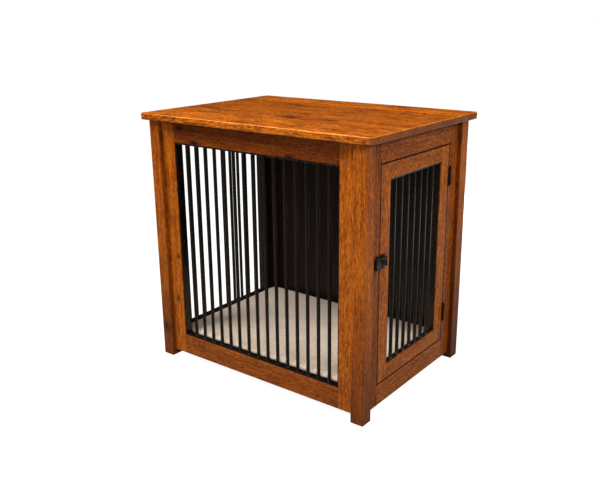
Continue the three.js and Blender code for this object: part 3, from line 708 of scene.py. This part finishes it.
# %% [markdown]
# ## Black steel
# The grilles, hinges and latch are steel with a satin black coating. Plain black would look like
# a hole in the picture: what shows on black steel is its sheen. So the coating is nearly black,
# its sheen varies a little from place to place, and it has the faint ripple of powder coat. A grey
# line on the edge of each grille's top bar is a painted highlight, and so are grey spots on the
# castings.
# The round bars arrive with sixteen sides, so a modifier shades them smooth while their true
# corners stay crisp.


# %% Steel finish
EDGE_WIDTH = 0.7 * MM
# painted highlight: a grey line along each grille's top bar, dimmer on the door
EDGE_HIGHLIGHT_GREY = (0.16, 0.125, 0.100, 1.0)
DOOR_EDGE_HIGHLIGHT_GREY = (0.050, 0.036, 0.026, 1.0)
# painted highlight spots on the castings
SPOT_HIGHLIGHT_GREY = (0.150, 0.115, 0.090, 1.0)
WARM_SHEEN = (1.0, 0.84, 0.74, 1.0)
THIN_COAT = (0.9, 0.7, 0.6)
THICK_COAT = (1.7, 1.3, 1.1)
UNDERSIDE_DULLNESS = 0.70
RIPPLE_DEPTH = 0.2 * MM
LUMP_DEPTH = 1.4 * MM


def black_steel(name, base, roughness, edge=None, edge_highlight=EDGE_HIGHLIGHT_GREY, cast=False):
    """Satin black coating with a grey painted highlight along the height `edge`; lumpy where cast, with
    grey painted highlight spots.
    """
    material, tree, shader = start_material(name)
    place = add(tree, "TexCoord").outputs["Object"]
    patch = stretched_noise(tree, place, (60.0, 60.0, 25.0), 3.0)
    thin = tuple(base * share for share in THIN_COAT) + (1.0,)
    thick = tuple(base * share for share in THICK_COAT) + (1.0,)
    colour = ramp(tree, patch, [(0.3, thin), (0.75, thick)])
    dullness = map_range(tree, patch, 0.2, 0.8, roughness - 0.08, roughness + 0.10)
    ripple = stretched_noise(tree, place, (900.0, 900.0, 900.0), 2.0)
    inputs = {"Height": ripple, "Strength": 0.15, "Distance": RIPPLE_DEPTH}
    surface = add(tree, "Bump", inputs).outputs["Normal"]
    if edge:
        # painted highlight along the edge of the top bar
        above = math_node(tree, "SUBTRACT", add(tree, "SeparateXYZ", {0: place}).outputs[2], edge)
        lit_edge = math_node(tree, "LESS_THAN", math_node(tree, "ABSOLUTE", above), EDGE_WIDTH)
        broken = map_range(tree, stretched_noise(tree, place, (110.0, 110.0, 110.0), 1.0), 0.46, 0.54)
        colour = mix_colours(tree, math_node(tree, "MULTIPLY", lit_edge, broken), colour, edge_highlight)
        under = map_range(tree, facing_share(tree, "Z"), -0.8, -0.5, UNDERSIDE_DULLNESS, 0.0)
        dullness = math_node(tree, "ADD", dullness, under)
    if cast:
        lumps = stretched_noise(tree, place, (380.0, 380.0, 380.0), 2.0)
        # grey painted highlight spots where the lumps rise
        colour = mix_colours(tree, map_range(tree, lumps, 0.58, 0.68), colour, SPOT_HIGHLIGHT_GREY)
        inputs = {"Height": lumps, "Normal": surface, "Strength": 1.0, "Distance": LUMP_DEPTH}
        surface = add(tree, "Bump", inputs).outputs["Normal"]
    tree.links.new(colour, shader.inputs["Base Color"])
    tree.links.new(dullness, shader.inputs["Roughness"])
    tree.links.new(surface, shader.inputs["Normal"])
    shader.inputs["Specular IOR Level"].default_value = 0.5
    shader.inputs["Specular Tint"].default_value = WARM_SHEEN
    return material


print("steel finish ready")


# %% Smooth bars
CORNER_ANGLE = math.radians(35)


def smooth_group():
    """A modifier that joins split faces and shades them smooth up to a corner."""
    tree = bpy.data.node_groups.new("smooth_to_corners", "GeometryNodeTree")
    tree.interface.new_socket("Geometry", in_out="INPUT", socket_type="NodeSocketGeometry")
    tree.interface.new_socket("Geometry", in_out="OUTPUT", socket_type="NodeSocketGeometry")
    start = tree.nodes.new("NodeGroupInput")
    end = tree.nodes.new("NodeGroupOutput")
    clear = tree.nodes.new("GeometryNodeRemoveAttribute")
    clear.inputs["Name"].default_value = "custom_normal"
    merge = tree.nodes.new("GeometryNodeMergeByDistance")
    merge.inputs["Distance"].default_value = WELD_REACH
    faces = tree.nodes.new("GeometryNodeSetShadeSmooth")
    faces.inputs["Shade Smooth"].default_value = True
    angle = tree.nodes.new("GeometryNodeInputMeshEdgeAngle")
    sharp = tree.nodes.new("FunctionNodeCompare")
    sharp.operation = "LESS_THAN"
    sharp.inputs["B"].default_value = CORNER_ANGLE
    edges = tree.nodes.new("GeometryNodeSetShadeSmooth")
    edges.domain = "EDGE"
    link = tree.links.new
    link(start.outputs[0], clear.inputs["Geometry"])
    link(clear.outputs["Geometry"], merge.inputs["Geometry"])
    link(merge.outputs["Geometry"], faces.inputs["Geometry"])
    link(faces.outputs["Geometry"], edges.inputs["Geometry"])
    link(angle.outputs["Unsigned Angle"], sharp.inputs["A"])
    link(sharp.outputs["Result"], edges.inputs["Shade Smooth"])
    link(edges.outputs["Geometry"], end.inputs[0])
    return tree


SMOOTH = smooth_group()


def smooth_to_corners(piece):
    modifier = piece.modifiers.new("smooth_to_corners", "NODES")
    modifier.node_group = SMOOTH


print("smoothing ready")

# %% Steel pieces
FLAT_BAR_THICK = 4.0 * MM
BAR_COAT = (0.0055, 0.24)
bar_steel = black_steel("black_steel_bars", *BAR_COAT)
fitting_steel = black_steel("black_steel_fittings", 0.0060, 0.28)
casting_steel = black_steel("black_steel_castings", 0.0065, 0.17, cast=True)
grille_steel = {}
for name in ("front_grille", "left_grille", "door_grille"):
    edge = high(name).z - FLAT_BAR_THICK
    edge_highlight = DOOR_EDGE_HIGHLIGHT_GREY if name == "door_grille" else EDGE_HIGHLIGHT_GREY
    grille_steel[name] = black_steel("black_steel_" + name, *BAR_COAT, edge, edge_highlight)
steel = sorted(name for name, slot in record_slots.items() if slot == "black_steel")
for name in steel:
    dress(nodes[name], grille_steel.get(name, fitting_steel))
    if name in grille_steel:
        lit_by_card.objects.link(nodes[name])
    smooth_to_corners(nodes[name])
print("steel pieces:", len(steel))

# %% [markdown]
# ## Softened castings
# The latch's case, its keeper, the bolt and the thumb turn are small castings, and castings have
# no sharp corners. A bevel would be held back by the thin walls of the keeper's pocket, so each
# is remeshed into small even squares and smoothed, which melts every edge alike and lets it
# catch the light. The bolt is rounded as much as the pocket that it slides into.

# %% Latch castings
# casting: (size of the even squares, how often they are smoothed)
CASTINGS = {
    "latch_case": (0.5 * MM, 30),
    "latch_keeper": (0.5 * MM, 40),
    "latch_thumb_turn": (0.4 * MM, 12),
    "latch_bolt": (0.35 * MM, 24),
}
for name, (square, times) in CASTINGS.items():
    casting = nodes[name]
    dress(casting, casting_steel)
    casting.modifiers.remove(casting.modifiers["smooth_to_corners"])
    even = casting.modifiers.new("even_squares", "REMESH")
    even.mode = "VOXEL"
    even.voxel_size = square
    even.use_smooth_shade = True
    melt = casting.modifiers.new("soft_edges", "SMOOTH")
    melt.factor = 0.5
    melt.iterations = times
print("castings rounded:", len(CASTINGS))

# %% [markdown]
# ## Weld beads
# Each round bar is welded into its flat bar at both ends, which leaves a small uneven collar of
# metal. A torus round each bar would do from afar, but sixty-two of the same would look
# machined. So a bead is a ring of points swept round the bar, pushed in and out by a little
# noise, and no two are alike.

# %% Bead shape
BAR_RADIUS = 4.75 * MM
GRILLE_CLEARANCE = 0.3 * MM
BEAD_SIDES = 20
BEAD_UNEVEN = 0.45
BEAD_WAVES = 420
# profile: (out from the bar, up from the flat bar), both in millimetres
BEAD_PROFILE = ((1.3, 0.0), (1.05, 0.40), (0.55, 0.85), (0.18, 1.4), (-0.15, 1.9))


def weld_bead(mesh, centre, upward):
    """A collar round a bar, from its wide foot on the flat bar to the bar's side."""
    rings = []
    for out, rise in BEAD_PROFILE:
        ring = []
        for side in range(BEAD_SIDES):
            turn = 2 * math.pi * side / BEAD_SIDES
            spot = centre + Vector((math.cos(turn), math.sin(turn), 0.3)) * 0.01
            ripple = 1.0 + BEAD_UNEVEN * noise.noise(spot * BEAD_WAVES)
            reach = BAR_RADIUS + out * MM * (ripple if out > 0 else 1.0)
            height = upward * rise * MM * ripple
            point = Vector((reach * math.cos(turn), reach * math.sin(turn), height))
            ring.append(mesh.verts.new(centre + point))
        rings.append(ring)
    for lower, upper in zip(rings, rings[1:]):
        for side in range(BEAD_SIDES):
            after = (side + 1) % BEAD_SIDES
            corners = (lower[side], lower[after], upper[after], upper[side])
            face = mesh.faces.new(corners if upward > 0 else corners[::-1])
            face.smooth = True


def finish_piece(name, mesh, material, body):
    """Turn built geometry into a piece that rides on a body."""
    data = bpy.data.meshes.new(name)
    mesh.to_mesh(data)
    mesh.free()
    data.materials.append(material)
    piece = bpy.data.objects.new(name, data)
    scene.collection.objects.link(piece)
    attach(piece, body)


print("bead shape ready")

# %% Beads on the grilles
# grille: (long axis, spaces between bars, body)
GRILLES = {
    "front_grille": (0, 16, "crate"),
    "left_grille": (1, 10, "crate"),
    "door_grille": (1, 8, "door"),
}


def bar_centres(name):
    """Where a grille's bars stand, from its own box: evenly between its two side bars."""
    axis, spaces, _ = GRILLES[name]
    start, stop = low(name), high(name)
    reach = stop[axis] - start[axis] + 2 * GRILLE_CLEARANCE - FLAT_BAR_THICK
    middle = (start + stop) / 2
    centres = []
    for bar in range(1, spaces):
        centre = middle.copy()
        centre[axis] += (bar / spaces - 0.5) * reach
        centres.append(centre)
    return centres


for name, (axis, spaces, body) in GRILLES.items():
    beads = bmesh.new()
    foot = low(name).z + FLAT_BAR_THICK
    head = high(name).z - FLAT_BAR_THICK
    for centre in bar_centres(name):
        weld_bead(beads, Vector((centre.x, centre.y, foot)), 1)
        weld_bead(beads, Vector((centre.x, centre.y, head)), -1)
    finish_piece(name.replace("grille", "weld_beads"), beads, bar_steel, body)
    print(name, "bars:", spaces - 1)

# %% [markdown]
# ## Screws
# Screws hold the flat bars in their openings, the hinge leaves in their seats and the latch to
# the door. The cross could be cut out of a dome with a boolean, but that can leave slivers on
# so small a piece. Instead a head is rings of points round its middle, with the points that
# fall in the cross pressed down, and every head is turned its own way, as a driver leaves it.

# %% Screw heads
SCREW_SIDES = 32
SCREW_RINGS = 8
# shares of a head's radius or height
CROSS_HALF_WIDTH = 0.13
CROSS_REACH = 0.62
CROSS_FLOOR = 0.25
DOME_FULLNESS = 2.4


def screw_head(mesh, place, out, radius, height, turned):
    """A domed head at `place`, facing `out`, with its cross turned by an angle."""
    facing = out.to_track_quat("Z", "Y").to_matrix()
    rings = []
    for step in range(SCREW_RINGS + 1):
        share = step / SCREW_RINGS
        ring = []
        for side in range(SCREW_SIDES if step else 1):
            angle = 2 * math.pi * side / SCREW_SIDES
            u, v = share * math.cos(angle), share * math.sin(angle)
            rise = math.sqrt(max(0.0, 1.0 - share ** DOME_FULLNESS))
            across = abs(u) < CROSS_HALF_WIDTH and abs(v) < CROSS_REACH
            along = abs(v) < CROSS_HALF_WIDTH and abs(u) < CROSS_REACH
            if across or along:
                rise *= CROSS_FLOOR
            spot = Matrix.Rotation(turned, 3, "Z") @ Vector((u * radius, v * radius, rise * height))
            ring.append(mesh.verts.new(place + facing @ spot))
        rings.append(ring)
    for side in range(SCREW_SIDES):
        after = (side + 1) % SCREW_SIDES
        mesh.faces.new((rings[0][0], rings[1][side], rings[1][after]))
        for inner, outer in zip(rings[1:], rings[2:]):
            mesh.faces.new((inner[side], outer[side], outer[after], inner[after]))


def screws(name, body, heads, size):
    """Heads at (place, direction), as one piece; `size` is a head's radius and height."""
    mesh = bmesh.new()
    chance = random.Random(name)
    for place, out in heads:
        screw_head(mesh, Vector(place), Vector(out), *size, chance.uniform(0.0, math.pi))
    finish_piece(name, mesh, fitting_steel, body)
    print(name, "screws:", len(heads))


# %% Screws in the flat bars
BAR_SCREW_HEIGHTS = (0.18, 0.50, 0.82)
BAR_SCREW = (3.6 * MM, 0.9 * MM)
for name, (axis, spaces, body) in GRILLES.items():
    start, stop = low(name), high(name)
    middle = (start + stop) / 2
    heads = []
    for share in BAR_SCREW_HEIGHTS:
        for side in (-1, 1):
            place = middle.copy()
            place[axis] = (start if side < 0 else stop)[axis] - side * FLAT_BAR_THICK
            place.z = start.z + share * (stop.z - start.z)
            out = Vector((0.0, 0.0, 0.0))
            out[axis] = -side
            heads.append((place, out))
    screws(name.replace("grille", "bar_screws"), body, heads, BAR_SCREW)

# %% Screws in the latch
OUTWARD = (1.0, 0.0, 0.0)
PLATE_SCREW = (2.6 * MM, 0.9 * MM)
KEEPER_SCREW = (1.9 * MM, 0.7 * MM)
plate_low, plate_high = low("latch_back_plate"), high("latch_back_plate")
case_low, case_high = low("latch_case"), high("latch_case")
plate_middle = (plate_low.y + plate_high.y) / 2
plate_heads = [
    ((plate_high.x, plate_middle, (plate_high.z + case_high.z) / 2), OUTWARD),
    ((plate_high.x, plate_middle, (plate_low.z + case_low.z) / 2), OUTWARD),
]
screws("latch_plate_screws", "door", plate_heads, PLATE_SCREW)
KEEPER_LIP = 3.4 * MM
keeper_low, keeper_high = low("latch_keeper"), high("latch_keeper")
keeper_middle = (keeper_low.y + keeper_high.y) / 2
keeper_heads = [
    ((plate_high.x, keeper_middle, keeper_high.z - KEEPER_LIP), OUTWARD),
    ((plate_high.x, keeper_middle, keeper_low.z + KEEPER_LIP), OUTWARD),
]
screws("latch_keeper_screws", "crate", keeper_heads, KEEPER_SCREW)

# %% Screws in the hinges
HINGE_AXIS_Y = frame["record"]["behaviour"]["joints"][0]["pos_m"][1]
LEAF_FACE = 0.30 * MM
LEAF_SCREW = (2.7 * MM, 0.18 * MM)
# each screw: (up from the leaf's middle, in from its outer edge)
LEAF_SCREW_PLACES = ((-17.0 * MM, 11.0 * MM), (0.0, 6.5 * MM), (17.0 * MM, 11.0 * MM))
for leaf, side, body in (("door_leaf", -1, "door"), ("frame_leaf", 1, "crate")):
    heads = []
    for place in ("upper", "lower"):
        start, stop = low("hinge_" + place + "_" + leaf), high("hinge_" + place + "_" + leaf)
        for rise, inset in LEAF_SCREW_PLACES:
            spot = (start.x + inset, HINGE_AXIS_Y + side * LEAF_FACE, (start.z + stop.z) / 2 + rise)
            heads.append((spot, (0.0, -float(side), 0.0)))
    screws("hinge_" + leaf + "_screws", body, heads, LEAF_SCREW)

# %% [markdown]
# ## The pad
# The pad is a stuffed cushion in a pale, nubby cover. A rounded box would have the right size
# but the wrong skin: a cushion crowns in the middle and pulls in between its corners. Blender's
# cloth does that by itself. So the pad starts as a copy of its plain solid, is remeshed into
# even squares, drawn in a little, and blown up by a cloth simulation with pressure. How far a
# point may move is capped, so that the pad keeps its size.

# %% Pad shape
PAD_SQUARE = 5.0 * MM
pad_mesh = nodes["pad"].data.copy()
pad_mesh.materials.clear()
pad = bpy.data.objects.new("pad_cushion", pad_mesh)
scene.collection.objects.link(pad)
bpy.context.view_layer.objects.active = pad
pad.select_set(True)
remesh = pad.modifiers.new("even_squares", "REMESH")
remesh.mode = "VOXEL"
remesh.voxel_size = PAD_SQUARE
bpy.ops.object.modifier_apply(modifier="even_squares")
pad.data.update()
print("pad vertices:", len(pad.data.vertices))

# %% Pad simulation
PAD_SHRINK = 1.5 * MM
SWELL_OUT = 3.0 * MM
DRAW_IN = 1.0 * MM
SIDE_ROOM = 0.5 * MM
STUFFING_PRESSURE = 4.0
LAST_STEP = 20
outward = [v.normal.copy() for v in pad.data.vertices]
for v, way in zip(pad.data.vertices, outward):
    v.co -= way * PAD_SHRINK
cloth = pad.modifiers.new("stuffing", "CLOTH")
cloth.settings.use_pressure = True
cloth.settings.uniform_pressure_force = STUFFING_PRESSURE
cloth.settings.effector_weights.gravity = 0.0
cloth.settings.quality = 5
cloth.collision_settings.use_collision = False
cloth.point_cache.frame_start = 1
cloth.point_cache.frame_end = LAST_STEP
for step in range(1, LAST_STEP + 1):
    scene.frame_set(step)
graph = bpy.context.evaluated_depsgraph_get()
swollen = [v.co.copy() for v in pad.evaluated_get(graph).data.vertices]
pad.modifiers.remove(cloth)
scene.frame_set(1)
for v, now, way in zip(pad.data.vertices, swollen, outward):
    moved = now - v.co
    cap = SWELL_OUT if moved.dot(way) > 0 else DRAW_IN
    if moved.length > cap:
        moved = moved.normalized() * cap
    v.co += moved
pad_low, pad_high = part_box("pad")
for v in pad.data.vertices:
    v.co.x = min(max(v.co.x, pad_low.x - SIDE_ROOM), pad_high.x + SIDE_ROOM)
    v.co.y = min(max(v.co.y, pad_low.y - SIDE_ROOM), pad_high.y + SIDE_ROOM)
    v.co.z = max(v.co.z, pad_low.z)
for polygon in pad.data.polygons:
    polygon.use_smooth = True
subdivide = pad.modifiers.new("soft_surface", "SUBSURF")
subdivide.levels = 1
subdivide.render_levels = 1
print("pad height:", round((max(v.co.z for v in pad.data.vertices) - pad_low.z) / MM, 1), "mm")

# %% [markdown]
# ## The pad's cover
# The cover is a short, nubby cloth. A woven grid would be too orderly for it, so its nubs are
# the cells of a Voronoi pattern, each a little hill in the bump, and a fleck of noise sets light
# and dark threads. It is rough, with a faint sheen where it is seen edge on.

# %% Pad cover
NUBS_IN_A_METRE = 420.0
NUB_HEIGHT = 1.2 * MM
THREAD_STOPS = [
    (0.30, (0.44, 0.350, 0.28, 1.0)),
    (0.52, (0.75, 0.63, 0.53, 1.0)),
    (0.78, (0.89, 0.79, 0.69, 1.0)),
]


def pad_cover():
    material, tree, shader = start_material("pad_cover")
    place = add(tree, "TexCoord").outputs["Object"]
    nub = add(tree, "TexVoronoi", {"Vector": place, "Scale": NUBS_IN_A_METRE, "Randomness": 1.0})
    fleck = stretched_noise(tree, place, (260.0, 260.0, 260.0), 2.0, 0.7)
    cloud = stretched_noise(tree, place, (14.0, 14.0, 14.0), 3.0, 0.6)
    threads = math_node(tree, "MULTIPLY", fleck, 0.8)
    shade = math_node(tree, "ADD", threads, math_node(tree, "MULTIPLY", cloud, 0.25))
    colour = ramp(tree, shade, THREAD_STOPS)
    hollows = math_node(tree, "MULTIPLY", nub.outputs["Distance"], -0.6)
    height = math_node(tree, "ADD", hollows, fleck)
    bump = add(tree, "Bump", {"Height": height, "Strength": 0.6, "Distance": NUB_HEIGHT})
    tree.links.new(colour, shader.inputs["Base Color"])
    tree.links.new(bump.outputs["Normal"], shader.inputs["Normal"])
    shader.inputs["Roughness"].default_value = 0.95
    shader.inputs["Sheen Weight"].default_value = 0.25
    shader.inputs["Sheen Roughness"].default_value = 0.5
    shader.inputs["Specular IOR Level"].default_value = 0.2
    return material


pad.data.materials.append(pad_cover())
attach(pad, "crate")
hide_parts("pad")
print("pad covered")
